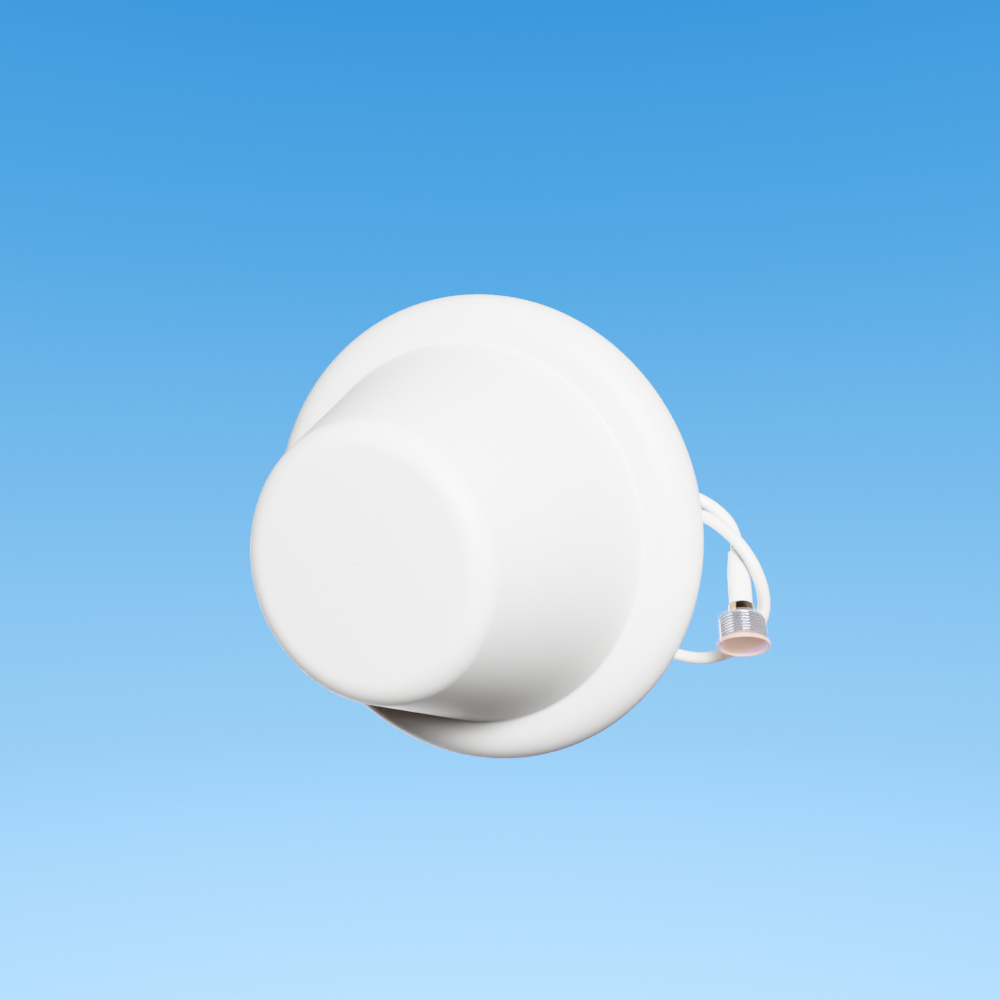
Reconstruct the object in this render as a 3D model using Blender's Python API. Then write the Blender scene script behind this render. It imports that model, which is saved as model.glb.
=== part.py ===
"""Ceiling dome antenna with a captive coax pigtail.

The frame is the mounted one. +Z points up through the ceiling, z = 0 is the back face that
lies against the ceiling, and the dome hangs below it. +X is the side the pigtail leaves on.
Each sub-part is one closed solid in its own object, drawn in millimetres and scaled to metres.
"""

import math

import bmesh
import bpy
from mathutils import Matrix, Vector

MM = 0.001

# housing
FLANGE_R = 93.0
FLANGE_FACE_Z = -13.7
DOME_Z = -85.0
DOME_TOP_CORNER_R = 45.7
DOME_BASE_R = 74.2
DOME_EDGE_FILLET = 10.5
DOME_ROOT_FILLET = 1.8
SHOULDER_FILLET = 12.6
WALL = 2.2
GATE_R = 1.4
GATE_DEPTH = 0.25
PARTING_R = 75.85
GAP = 0.3
BOSS_CIRCLE_R = 79.5
BOSS_R = 3.2
BOSS_PILOT_R = 1.3
COVER_SCREW_ANGLES = (45, 135, 225, 315)

# base plate
PLATE_R = 90.4
PLATE_T = 2.4
STUD_HOLE_R = 10.2
STUD_RECESS_R = 19.5
STUD_RECESS_DEPTH = 0.8
RIB_ANGLES = (0, 60, 120, 180, 240, 300)
POST_CIRCLE_R = 52.0
POST_R = 4.0
POST_END_Z = -7.7
INNER_ANGLES = (30, 150, 270)

# mounting stud, nut and washer
STUD_MAJOR_R = 9.8
STUD_MINOR_R = 8.7
STUD_PITCH = 2.0
STUD_BORE_R = 4.2
STUD_TOP_Z = 22.0
BOOT_TOP_Z = 31.5
NUT_AF = 30.0
NUT_FLANGE_R = 17.6
NUT_BORE_R = 10.15
WASHER_R = 16.8
WASHER_T = 1.5

# radiating element
GROUND_R = 74.0
GROUND_TOP_Z = -8.0
GROUND_T = 1.1
CONE_APEX_Z = -13.0
CONE_RIM_Z = -56.0
CONE_RIM_R = 34.0
CONE_LIP_Z = -68.6
CONE_LIP_R = 46.0
SHEET = 0.8
STANDOFF_CIRCLE_R = 42.0
STRAP_ANGLES = (90, 210, 330)

# coax, in line with the stud, and the jack on its free end
COAX_R = 2.2
COAX_BORE_R = COAX_R + 0.3
JACK_POINT = Vector((108.9, 18.0, -9.5))
JACK_AXIS = Vector((0.21, 0.78, -0.59)).normalized()
JACK_THREAD_R = 7.8
JACK_THREAD_MINOR_R = 7.25
JACK_PITCH = 25.4 / 24
CAP_BORE_R = 8.1
CAP_R = 8.5
CAP_RIM_R = 9.1

# the pigtail's route from the boot to the jack: over and down to the rim, a loop outside it,
# back to lie on the plate, and out over the rim again beside itself
ROUTE = (
    (0, 0, 14), (0, 0, 25), (0, 0, 35), (0.8, -0.1, 42.5), (4.4, -0.6, 50.2), (10.8, -1.6, 55.8),
    (19.5, -2.9, 57.8), (29, -4.3, 55.0), (38.5, -5.8, 47.4), (48, -7.3, 36.4), (58, -8.8, 24.4),
    (68, -10.1, 14.2), (77, -11.1, 7.6), (85, -11.4, 4.9), (92.6, -10.5, 3.7), (100.0, -7.4, -0.2),
    (106.4, -2.7, -3.3), (111.7, 4.0, -4.8), (114.9, 13.0, -3.0), (114.7, 22.8, 0.4),
    (109.2, 33.2, 3.0), (100.2, 40.1, 4.4), (91.8, 42.6, 4.6), (83.3, 42.3, 4.6), (72.5, 39.2, 4.4),
    (62, 32.2, 4.4), (54.5, 21.5, 4.4), (52, 9, 4.4), (55, -4, 4.4), (63, -14, 4.4),
    (73.5, -18.8, 5.2), (83.2, -18.3, 7.4), (90.8, -15.4, 8.9), (95.6, -12.3, 9.1), (99.3, -9.0, 8.6),
    (102.0, -5.2, 7.1),
)


def clear_scene():
    for obj in list(bpy.data.objects):
        bpy.data.objects.remove(obj, do_unlink=True)


def material(name, colour, roughness, metallic=0.0, transmission=0.0):
    mat = bpy.data.materials.new(name)
    mat.use_nodes = True
    shader = mat.node_tree.nodes["Principled BSDF"]
    shader.inputs["Base Color"].default_value = (*colour, 1.0)
    shader.inputs["Roughness"].default_value = roughness
    shader.inputs["Metallic"].default_value = metallic
    shader.inputs["Transmission Weight"].default_value = transmission
    return mat


def add_object(name, bm, mat, parent=None, at=(0, 0, 0), turn=0.0, sharp=35):
    """Turn a bmesh in millimetres into an object; turn is degrees about its own Z."""
    bmesh.ops.remove_doubles(bm, verts=bm.verts, dist=1e-4)
    bmesh.ops.dissolve_degenerate(bm, edges=bm.edges, dist=1e-5)
    bmesh.ops.recalc_face_normals(bm, faces=bm.faces)
    bmesh.ops.scale(bm, vec=(MM, MM, MM), verts=bm.verts)
    mesh = bpy.data.meshes.new(name)
    bm.to_mesh(mesh)
    bm.free()
    mesh.shade_smooth()
    mesh.set_sharp_from_angle(angle=math.radians(sharp))
    if mat:
        mesh.materials.append(mat)
    obj = bpy.data.objects.new(name, mesh)
    bpy.context.scene.collection.objects.link(obj)
    obj.location = Vector(at) * MM
    obj.rotation_euler = (0, 0, math.radians(turn))
    obj.parent = parent
    return obj


def empty(name, at, axis=(0, 0, 1)):
    """An empty at a point in millimetres whose Z lies along axis."""
    obj = bpy.data.objects.new(name, None)
    bpy.context.scene.collection.objects.link(obj)
    obj.empty_display_size = 0.01
    obj.location = Vector(at) * MM
    obj.rotation_euler = Vector(axis).to_track_quat("Z", "Y").to_euler()
    return obj


def turned(profile, steps):
    """Spin a closed (radius, z) outline, or an open one that starts and ends on the axis."""
    bm = bmesh.new()
    verts = [bm.verts.new((r, 0, z)) for r, z in profile]
    edges = [bm.edges.new(pair) for pair in zip(verts, verts[1:])]
    if profile[0][0] > 0 or profile[-1][0] > 0:
        edges.append(bm.edges.new((verts[-1], verts[0])))
    bmesh.ops.spin(bm, geom=verts + edges, cent=(0, 0, 0), axis=(0, 0, 1), dvec=(0, 0, 0),
                   angle=math.tau, steps=steps, use_merge=False)
    return bm


def hex_radius(across_flats, angle):
    """Radius of a hexagon at an angle, with a corner on +X."""
    return across_flats / 2 / math.cos(angle % (math.pi / 3) - math.pi / 6)


def ringed(rings, columns):
    """Skin a closed stack of rings; a ring is (radius, z), or (hex, across flats, z)."""
    bm = bmesh.new()
    loops = []
    for ring in rings:
        loop = []
        for c in range(columns):
            angle = math.tau * c / columns
            radius = hex_radius(ring[1], angle) if ring[0] == "hex" else ring[0]
            loop.append(bm.verts.new((radius * math.cos(angle), radius * math.sin(angle), ring[-1])))
        loops.append(loop)
    for low, high in zip(loops, loops[1:] + loops[:1]):
        for c in range(columns):
            d = (c + 1) % columns
            bm.faces.new((low[c], low[d], high[d], high[c]))
    return bm


def threaded(below, z0, z1, pitch, minor, major, above, columns):
    """A turned body whose middle carries a V thread from z0 to z1.

    below runs from the bore's bottom out and up to the thread, above from the thread's end in
    and down to the bore's top; the two meet along the bore.
    """
    bm = bmesh.new()

    def ring(radius, z):
        return [bm.verts.new((radius * math.cos(math.tau * c / columns),
                              radius * math.sin(math.tau * c / columns), z)) for c in range(columns)]

    def bridge(low, high):
        for c in range(columns):
            d = (c + 1) % columns
            bm.faces.new((low[c], low[d], high[d], high[c]))

    rows = {}
    first, last = -3, int(2 * (z1 - z0) / pitch) + 3
    for k in range(first, last + 1):
        for c in range(columns):
            z = z0 + pitch * (k / 2 + c / columns)
            radius = major if k % 2 else minor
            if z <= z0 or z >= z1:
                z, radius = min(max(z, z0), z1), minor
            angle = math.tau * c / columns
            rows[k, c] = bm.verts.new((radius * math.cos(angle), radius * math.sin(angle), z))
    for k in range(first, last):
        for c in range(columns):
            step, d = (0, c + 1) if c + 1 < columns else (2, 0)
            if (k + 1 + step, d) in rows and (k + step, d) in rows:
                bm.faces.new((rows[k, c], rows[k + step, d], rows[k + 1 + step, d], rows[k + 1, c]))
    lower = [ring(*p) for p in below] + [ring(minor, z0)]
    upper = [ring(minor, z1)] + [ring(*p) for p in above]
    for chain in (lower, upper):
        for low, high in zip(chain, chain[1:]):
            bridge(low, high)
    bridge(upper[-1], lower[0])
    bmesh.ops.remove_doubles(bm, verts=bm.verts, dist=1e-4)
    bmesh.ops.dissolve_degenerate(bm, edges=bm.edges, dist=1e-5)
    return bm


def box(bm, low, high, turn=0.0):
    """Add a box between two corners, turned in degrees about Z."""
    low, high = Vector(low), Vector(high)
    matrix = (Matrix.Rotation(math.radians(turn), 4, "Z") @ Matrix.Translation((low + high) / 2)
              @ Matrix.Diagonal((*(high - low), 1)))
    bmesh.ops.create_cube(bm, size=1, matrix=matrix)


def cylinder(bm, radius, z0, z1, circle_r=0.0, turn=0.0, sides=16):
    matrix = (Matrix.Rotation(math.radians(turn), 4, "Z")
              @ Matrix.Translation((circle_r, 0, (z0 + z1) / 2)))
    bmesh.ops.create_cone(bm, cap_ends=True, segments=sides, radius1=radius, radius2=radius,
                          depth=z1 - z0, matrix=matrix)


def boolean(obj, operation, name, bm):
    """Apply a hidden tool object to obj with an exact Boolean."""
    tool = add_object(name, bm, None)
    tool.hide_render = True
    tool.display_type = "WIRE"
    mod = obj.modifiers.new(name, "BOOLEAN")
    mod.operation = operation
    mod.solver = "EXACT"
    mod.object = tool


def rounded(corners, radii, steps):
    """Replace each inner corner of a polyline by an arc."""
    out = [Vector(corners[0])]
    for i, (radius, count) in enumerate(zip(radii, steps), 1):
        a, p, b = (Vector(corners[j]) for j in (i - 1, i, i + 1))
        u, v = (a - p).normalized(), (b - p).normalized()
        half = math.acos(max(-1, min(1, u.dot(v)))) / 2
        start, end = p + u * radius / math.tan(half), p + v * radius / math.tan(half)
        centre = p + (u + v).normalized() * radius / math.sin(half)
        r0, r1 = start - centre, end - centre
        sweep = r0.angle_signed(r1)
        for s in range(count + 1):
            c, d = math.cos(-sweep * s / count), math.sin(-sweep * s / count)
            out.append(centre + Vector((r0.x * c - r0.y * d, r0.x * d + r0.y * c)))
    out.append(Vector(corners[-1]))
    return [(p.x, p.y) for p in out]


def skin(inset, edge_steps, shoulder_steps):
    """The radome's half section from the axis to the rim, moved inwards by inset."""
    slope = math.atan2(DOME_BASE_R - DOME_TOP_CORNER_R, FLANGE_FACE_Z - DOME_Z)
    top, face, rim = DOME_Z + inset, FLANGE_FACE_Z + inset, FLANGE_R - inset
    shift = inset / math.cos(slope)
    corner_r = DOME_TOP_CORNER_R + inset * math.tan(slope) - shift
    base_r = DOME_BASE_R + inset * math.tan(slope) - shift
    corners = [(0, top), (corner_r, top), (base_r, face), (rim, face), (rim, 0)]
    radii = (DOME_EDGE_FILLET - inset, DOME_ROOT_FILLET + inset, SHOULDER_FILLET - inset)
    return rounded(corners, radii, (edge_steps, 2, shoulder_steps))


def smooth_path(points, tail, spacing):
    """Sample a Catmull-Rom curve through the route, then follow the straight tail."""
    pts = [Vector(p) for p in points] + tail
    dense = []
    for i in range(len(pts) - 1):
        p1, p2 = pts[i], pts[i + 1]
        p0 = pts[i - 1] if i else p1 * 2 - p2
        p3 = pts[i + 2] if i + 2 < len(pts) else p2 * 2 - p1
        t0, t1 = 0.0, (p1 - p0).length ** 0.5
        t2 = t1 + (p2 - p1).length ** 0.5
        t3 = t2 + (p3 - p2).length ** 0.5
        for s in range(20):
            t = t1 + (t2 - t1) * s / 20
            a1 = p0 * ((t1 - t) / (t1 - t0)) + p1 * ((t - t0) / (t1 - t0))
            a2 = p1 * ((t2 - t) / (t2 - t1)) + p2 * ((t - t1) / (t2 - t1))
            a3 = p2 * ((t3 - t) / (t3 - t2)) + p3 * ((t - t2) / (t3 - t2))
            b1 = a1 * ((t2 - t) / (t2 - t0)) + a2 * ((t - t0) / (t2 - t0))
            b2 = a2 * ((t3 - t) / (t3 - t1)) + a3 * ((t - t1) / (t3 - t1))
            dense.append(b1 * ((t2 - t) / (t2 - t1)) + b2 * ((t - t1) / (t2 - t1)))
    dense.append(pts[-1])
    lengths = [0.0]
    for a, b in zip(dense, dense[1:]):
        lengths.append(lengths[-1] + (b - a).length)
    count = round(lengths[-1] / spacing)
    out, j = [], 0
    for i in range(count + 1):
        want = lengths[-1] * i / count
        while j < len(dense) - 2 and lengths[j + 1] < want:
            j += 1
        out.append(dense[j].lerp(dense[j + 1], (want - lengths[j]) / (lengths[j + 1] - lengths[j])))
    return out


def cable(name, points, mat):
    curve = bpy.data.curves.new(name, "CURVE")
    curve.dimensions = "3D"
    curve.bevel_depth = COAX_R * MM
    curve.bevel_resolution = 3
    curve.use_fill_caps = True
    spline = curve.splines.new("POLY")
    spline.points.add(len(points) - 1)
    for point, p in zip(spline.points, points):
        point.co = (*(p * MM), 1.0)
    curve.materials.append(mat)
    obj = bpy.data.objects.new(name, curve)
    bpy.context.scene.collection.objects.link(obj)
    return obj


def ribbon(path, width, thickness):
    """A bent strip: its middle line runs in the (radius, z) plane, its width across it."""
    pts = [Vector(p) for p in path]
    sides = []
    for i, p in enumerate(pts):
        dirs = [(b - a).normalized() for a, b in zip(pts[max(i - 1, 0):], pts[max(i - 1, 0) + 1:i + 2])]
        normals = [Vector((-d.y, d.x)) for d in dirs]
        mean = sum(normals, Vector((0, 0))).normalized()
        sides.append(mean * (thickness / 2 / mean.dot(normals[0])))
    outline = [p + s for p, s in zip(pts, sides)] + [p - s for p, s in reversed(list(zip(pts, sides)))]
    bm = bmesh.new()
    face = bm.faces.new([bm.verts.new((p.x, -width / 2, p.y)) for p in outline])
    moved = bmesh.ops.extrude_face_region(bm, geom=[face])["geom"]
    bmesh.ops.translate(bm, vec=(0, width, 0), verts=[v for v in moved if isinstance(v, bmesh.types.BMVert)])
    return bm


clear_scene()

white_abs = material("white_abs", (0.86, 0.87, 0.86), 0.42)
white_plate = material("white_abs_plate", (0.82, 0.83, 0.82), 0.5)
zinc = material("zinc_steel", (0.62, 0.63, 0.65), 0.35, 1.0)
nylon = material("white_nylon", (0.84, 0.84, 0.81), 0.45)
nickel = material("nickel", (0.66, 0.62, 0.56), 0.22, 1.0)
brass = material("brass", (0.78, 0.58, 0.25), 0.3, 1.0)
sheet_metal = material("aluminium_sheet", (0.75, 0.76, 0.78), 0.38, 1.0)
ptfe = material("ptfe", (0.92, 0.92, 0.9), 0.5)
jacket = material("white_jacket", (0.85, 0.85, 0.83), 0.4)
shrink = material("white_shrink", (0.87, 0.87, 0.86), 0.35)
clear_cap = material("clear_cap", (0.88, 0.72, 0.68), 0.3, 0.0, 0.7)

# radome: one moulding, kept as two solids that part in the flange's flat just outside the dome's root
outer = skin(0, 5, 6)
inner = skin(WALL, 2, 3)
gate = [(0, DOME_Z + GATE_DEPTH), (GATE_R, DOME_Z + GATE_DEPTH), (GATE_R, DOME_Z)]
dome_edge, flange_edge = ([(r, FLANGE_FACE_Z), (r, FLANGE_FACE_Z + WALL)]
                          for r in (PARTING_R - GAP / 2, PARTING_R + GAP / 2))
dome_outer, dome_inner = ([p for p in section if p[0] < PARTING_R] for section in (outer, inner))
flange_outer, flange_inner = ([p for p in section if p[0] > PARTING_R] for section in (outer, inner))
add_object("radome", turned(gate + dome_outer[1:] + dome_edge + dome_inner[::-1], 64), white_abs)

# flange, with the screw bosses under it
flange = add_object("radome_flange", turned(
    flange_edge[:1] + flange_outer + flange_inner[::-1] + flange_edge[1:], 64), white_abs)
bosses, pilots = bmesh.new(), bmesh.new()
for angle in COVER_SCREW_ANGLES:
    cylinder(bosses, BOSS_R, FLANGE_FACE_Z + 1.1, -2.8, BOSS_CIRCLE_R, angle)
    cylinder(pilots, BOSS_PILOT_R, FLANGE_FACE_Z + WALL + 0.5, -1.8, BOSS_CIRCLE_R, angle, 10)
boolean(flange, "UNION", "flange_bosses", bosses)
boolean(flange, "DIFFERENCE", "flange_pilots", pilots)

# base plate: back face at z = 0, ribs, locating lip and posts on its inner side
plate = add_object("base_plate", turned([
    (STUD_HOLE_R, -3.4), (22.0, -3.4), (23.0, -PLATE_T), (84.6, -PLATE_T), (84.6, -6.0),
    (86.2, -6.0), (86.2, -PLATE_T), (PLATE_R, -PLATE_T), (PLATE_R, -0.4), (PLATE_R - 0.4, 0),
    (STUD_RECESS_R, 0), (STUD_RECESS_R, -STUD_RECESS_DEPTH), (STUD_HOLE_R, -STUD_RECESS_DEPTH),
], 64), white_plate)
stiffeners = bmesh.new()
for angle in RIB_ANGLES:
    box(stiffeners, (22.4, -0.8, -5.0), (84.9, 0.8, -1.6), angle)
for angle in INNER_ANGLES:
    cylinder(stiffeners, POST_R, POST_END_Z, -1.6, POST_CIRCLE_R, angle)
boolean(plate, "UNION", "plate_ribs_and_posts", stiffeners)
holes = bmesh.new()
for angle in COVER_SCREW_ANGLES:
    hole = turned([(0, -3.0), (1.6, -3.0), (1.6, -2.0), (3.6, -0.2), (3.6, 0.5), (0, 0.5)], 16)
    turn = Matrix.Rotation(math.radians(angle), 4, "Z") @ Matrix.Translation((BOSS_CIRCLE_R, 0, 0))
    bmesh.ops.remove_doubles(hole, verts=hole.verts, dist=1e-4)
    hole.transform(turn)
    piece = bpy.data.meshes.new("hole")
    hole.to_mesh(piece)
    hole.free()
    holes.from_mesh(piece)
    bpy.data.meshes.remove(piece)
for angle in INNER_ANGLES:
    cylinder(holes, 1.3, POST_END_Z - 1, -3.4, POST_CIRCLE_R, angle, 10)
boolean(plate, "DIFFERENCE", "plate_holes", holes)

# mounting stud, the nut that holds it in the plate, and the loose washer and nut above
add_object("mounting_stud", threaded(
    [(STUD_BORE_R, -7.4), (9.0, -7.4), (9.6, -6.8), (9.6, -0.2)], 0.6, STUD_TOP_Z - 0.6, STUD_PITCH,
    STUD_MINOR_R, STUD_MAJOR_R, [(STUD_MINOR_R - 0.6, STUD_TOP_Z), (STUD_BORE_R, STUD_TOP_Z)], 20), nylon)
add_object("stud_lock_nut", ringed([
    (9.95, -7.2), ("hex", 26.0, -7.2), ("hex", 26.0, -3.8), (9.95, -3.8)], 24), nylon)
WASHER_Z = -STUD_RECESS_DEPTH + 0.3
NUT_Z = WASHER_Z + WASHER_T + 0.3
washer_axis = empty("washer_axis", (0, 0, WASHER_Z))
add_object("washer", turned([
    (NUT_BORE_R, 0), (WASHER_R - 0.3, 0), (WASHER_R, 0.3), (WASHER_R, WASHER_T - 0.3),
    (WASHER_R - 0.3, WASHER_T), (NUT_BORE_R, WASHER_T)], 32), zinc, washer_axis)
nut_axis = empty("nut_axis", (0, 0, NUT_Z))
add_object("mounting_nut", ringed([
    (NUT_BORE_R, 0), (NUT_FLANGE_R, 0), (NUT_FLANGE_R, 1.2), (NUT_FLANGE_R - 1.4, 2.0), ("hex", NUT_AF, 2.2),
    ("hex", NUT_AF, 8.2), (14.6, 9.2), (NUT_BORE_R + 0.7, 9.2), (NUT_BORE_R, 8.6)], 24), nylon, nut_axis)

# fixings
for i, angle in enumerate(COVER_SCREW_ANGLES, 1):
    screw = turned([(0, -10.4), (0.5, -10.4), (1.0, -9.4), (1.0, -2.1), (1.2, -1.9), (3.1, -0.5), (3.1, -0.2),
                    (1.5, -0.2), (0.9, -0.9), (0, -0.9)], 16)
    spot = Matrix.Rotation(math.radians(angle), 3, "Z") @ Vector((BOSS_CIRCLE_R, 0, 0))
    add_object(f"cover_screw_{i}", screw, zinc, at=spot, turn=angle)
GROUND_LOW_Z = GROUND_TOP_Z - GROUND_T
for i, angle in enumerate(INNER_ANGLES, 1):
    screw = turned([(0, -4.2), (1.0, -4.2), (1.0, GROUND_LOW_Z - 0.3), (3.0, GROUND_LOW_Z - 0.3),
                    (2.8, GROUND_LOW_Z - 1.8), (1.8, GROUND_LOW_Z - 2.2), (0, GROUND_LOW_Z - 2.2)], 12)
    spot = Matrix.Rotation(math.radians(angle), 3, "Z") @ Vector((POST_CIRCLE_R, 0, 0))
    add_object(f"ground_screw_{i}", screw, zinc, at=spot)

# ground plate with its screw holes
ground = add_object("ground_plate", turned([
    (4.4, GROUND_LOW_Z), (GROUND_R, GROUND_LOW_Z), (GROUND_R, GROUND_TOP_Z), (4.4, GROUND_TOP_Z)], 40),
    sheet_metal)
holes = bmesh.new()
for angle in INNER_ANGLES:
    cylinder(holes, 1.5, GROUND_LOW_Z - 1, GROUND_TOP_Z + 1, POST_CIRCLE_R, angle, 10)
boolean(ground, "DIFFERENCE", "ground_holes", holes)

# spun sheet radiator: cone, band and lip
cone = add_object("radiator_cone", turned([
    (1.9, CONE_APEX_Z), (3.0, CONE_APEX_Z), (CONE_RIM_R, CONE_RIM_Z), (CONE_RIM_R, CONE_LIP_Z),
    (CONE_LIP_R, CONE_LIP_Z), (CONE_LIP_R, CONE_LIP_Z - SHEET), (CONE_RIM_R - SHEET, CONE_LIP_Z - SHEET),
    (CONE_RIM_R - SHEET, CONE_RIM_Z - 0.3), (2.7, CONE_APEX_Z - SHEET), (1.9, CONE_APEX_Z - SHEET)], 40),
    sheet_metal)
holes = bmesh.new()
for angle in INNER_ANGLES:
    cylinder(holes, 1.5, CONE_LIP_Z - SHEET - 1, CONE_LIP_Z + 1, STANDOFF_CIRCLE_R, angle, 10)
boolean(cone, "DIFFERENCE", "cone_holes", holes)

# feed: insulating bush in the ground plate, pin through it, nut inside the cone's apex
add_object("feed_insulator", turned([
    (1.8, -12.0), (3.4, -12.0), (4.05, -11.0), (4.05, GROUND_TOP_Z + 0.3), (6.0, GROUND_TOP_Z + 0.3),
    (6.0, GROUND_TOP_Z + 0.4), (1.8, GROUND_TOP_Z + 0.4)], 20), ptfe)
add_object("feed_pin", turned([(0, -18.5), (1.1, -18.5), (1.5, -18.0), (1.5, -7.3), (0, -7.3)], 16), brass)
add_object("feed_nut", ringed([(1.85, -16.6), ("hex", 5.0, -16.6), ("hex", 5.0, -14.9), (1.85, -14.9)], 12),
           brass)

# standoffs carry the cone's lip; straps short the lip to the ground plate
for i, angle in enumerate(INNER_ANGLES, 1):
    spot = Matrix.Rotation(math.radians(angle), 3, "Z") @ Vector((STANDOFF_CIRCLE_R, 0, 0))
    post = turned([(0, CONE_LIP_Z + 8), (1.3, CONE_LIP_Z + 8), (1.3, CONE_LIP_Z + 0.3),
                   (3.3, CONE_LIP_Z + 0.3), (3.3, GROUND_LOW_Z - 0.3), (0, GROUND_LOW_Z - 0.3)], 14)
    add_object(f"standoff_{i}", post, ptfe, at=spot)
    screw = turned([(0, CONE_LIP_Z + 6.5), (1.0, CONE_LIP_Z + 6.5), (1.0, CONE_LIP_Z - SHEET - 0.3),
                    (2.8, CONE_LIP_Z - SHEET - 0.3), (2.6, CONE_LIP_Z - SHEET - 1.6),
                    (0, CONE_LIP_Z - SHEET - 2.0)], 12)
    add_object(f"lip_screw_{i}", screw, zinc, at=spot)
for i, angle in enumerate(STRAP_ANGLES, 1):
    strap = ribbon([(64, -9.8), (58, -9.8), (47.2, CONE_LIP_Z + 0.7), (42.5, CONE_LIP_Z + 0.7)], 8.0, 0.7)
    add_object(f"shorting_strap_{i}", strap, brass, turn=angle)

# coax through the stud, its braid collar below and its moulded boot above
add_object("braid_collar", turned([
    (COAX_BORE_R, -7.0), (3.9, -7.0), (3.9, -2.5), (3.5, -2.0), (COAX_BORE_R, -2.0)], 20), brass)
add_object("coax_tail", turned([(0, -6.6), (COAX_R, -6.6), (COAX_R, 13.7), (0, 13.7)], 16), jacket)
boot = [(COAX_BORE_R, 13.0), (3.9, 13.0), (3.9, STUD_TOP_Z + 0.3), (7.4, STUD_TOP_Z + 0.3),
        (7.4, STUD_TOP_Z + 1.5), (6.0, STUD_TOP_Z + 2.0)]
for z in (25.6, 28.2):
    r = 5.4 - 0.3 * (z - 25.0)
    boot += [(r, z - 0.7), (r, z + 0.7), (r - 0.8, z + 0.9), (r - 0.8, z + 1.7)]
boot += [(3.3, BOOT_TOP_Z - 0.6), (3.0, BOOT_TOP_Z), (COAX_BORE_R, BOOT_TOP_Z)]
add_object("cable_boot", turned(boot, 16), jacket)

# the free pigtail, straight into the ferrule at its end
tail = [JACK_POINT + JACK_AXIS * t for t in (-24, -20, -16, -9, -2)]
cable("coax_cord", smooth_path(ROUTE, tail, 7.5), jacket)

# jack on the end of the cord: z runs along its axis towards the mating end
jack = empty("jack_axis", JACK_POINT, JACK_AXIS)
add_object("heat_shrink", turned([
    (2.9, -21.0), (3.2, -21.0), (3.35, -19.0), (3.8, -14.5), (4.0, -12.5), (4.0, -0.8), (3.85, -0.4),
    (3.6, -0.4), (3.6, -13.3), (COAX_BORE_R, -13.9), (COAX_BORE_R, -17.5)], 24), shrink, jack)
add_object("crimp_ferrule", turned([
    (COAX_BORE_R, -13.0), (3.1, -13.0), (3.3, -12.7), (3.3, -0.3), (COAX_BORE_R, -0.3)], 20), nickel, jack)
add_object("connector_body", threaded(
    [(0, 0), (4.2, 0), (4.4, 0.2), (4.4, 4.6), (6.6, 4.6)], 5.0, 13.1, JACK_PITCH, JACK_THREAD_MINOR_R,
    JACK_THREAD_R, [(6.9, 13.5), (4.5, 13.5), (4.3, 13.3), (4.3, 6.2), (0, 6.2)], 20), nickel, jack)
add_object("connector_insulator", turned([
    (1.9, 6.5), (3.95, 6.5), (3.95, 8.6), (1.9, 8.6)], 20), ptfe, jack)
add_object("connector_contact", turned([
    (0, 6.5), (1.55, 6.5), (1.55, 11.9), (1.35, 12.3), (0.85, 12.3), (0.85, 9.5), (0, 9.5)], 14), brass, jack)
cap_axis = empty("cap_axis", JACK_POINT, JACK_AXIS)
add_object("dust_cap", turned([
    (0, 14.7), (7.8, 14.7), (8.1, 15.4), (CAP_RIM_R - 0.3, 15.4), (CAP_RIM_R, 15.1), (CAP_RIM_R, 14.3),
    (CAP_R, 13.9), (CAP_R - 0.1, 4.6), (CAP_R - 0.2, 4.4), (CAP_BORE_R, 4.4), (CAP_BORE_R, 13.8), (0, 13.8)],
    32), clear_cap, cap_axis)
bpy.context.view_layer.update()
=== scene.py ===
"""Looks for the ceiling dome antenna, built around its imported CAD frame."""

import math

import bmesh
import bpy
from mathutils import Matrix, Vector


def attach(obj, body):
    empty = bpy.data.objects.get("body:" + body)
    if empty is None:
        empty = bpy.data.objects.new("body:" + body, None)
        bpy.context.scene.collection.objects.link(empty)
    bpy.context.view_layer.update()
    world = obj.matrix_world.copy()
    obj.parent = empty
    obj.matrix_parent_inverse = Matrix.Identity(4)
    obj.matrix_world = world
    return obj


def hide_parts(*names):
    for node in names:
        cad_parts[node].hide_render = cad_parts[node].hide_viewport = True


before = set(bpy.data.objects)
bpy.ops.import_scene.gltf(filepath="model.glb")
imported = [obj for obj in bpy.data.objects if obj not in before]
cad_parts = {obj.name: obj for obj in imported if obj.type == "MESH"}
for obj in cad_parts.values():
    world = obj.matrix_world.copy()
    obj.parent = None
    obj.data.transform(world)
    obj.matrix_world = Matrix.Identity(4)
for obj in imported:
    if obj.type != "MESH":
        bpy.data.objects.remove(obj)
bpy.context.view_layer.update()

MM = 0.001

# sizes shared with the CAD model, in millimetres
FLANGE_R, FLANGE_FACE_Z, DOME_Z = 93.0, -13.7, -85.0
DOME_TOP_CORNER_R, DOME_BASE_R = 45.7, 74.2
DOME_EDGE_FILLET, DOME_ROOT_FILLET, SHOULDER_FILLET = 10.5, 1.8, 12.6
WALL = 2.2
SCREW_CIRCLE_R, SCREW_ANGLES = 79.5, (45, 135, 225, 315)
PLATE_R = 90.4
STUD_HOLE_R, STUD_RECESS_R, STUD_RECESS_DEPTH = 10.2, 19.5, 0.8
STUD_MAJOR_R, STUD_MINOR_R, STUD_PITCH, STUD_BORE_R, STUD_TOP_Z = 9.8, 8.7, 2.0, 4.2, 22.0
NUT_AF, NUT_FLANGE_R, NUT_BORE_R, NUT_Z, NUT_H = 30.0, 17.6, 10.15, 1.3, 9.2
WASHER_R, WASHER_T, WASHER_Z = 16.8, 1.5, -0.5
BOOT_TOP_Z = 31.5
COAX_R = 2.2
COAX_BORE_R = COAX_R + 0.3
JACK_POINT = Vector((108.9, 18.0, -9.5))
JACK_AXIS = Vector((0.21, 0.78, -0.59)).normalized()
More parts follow.
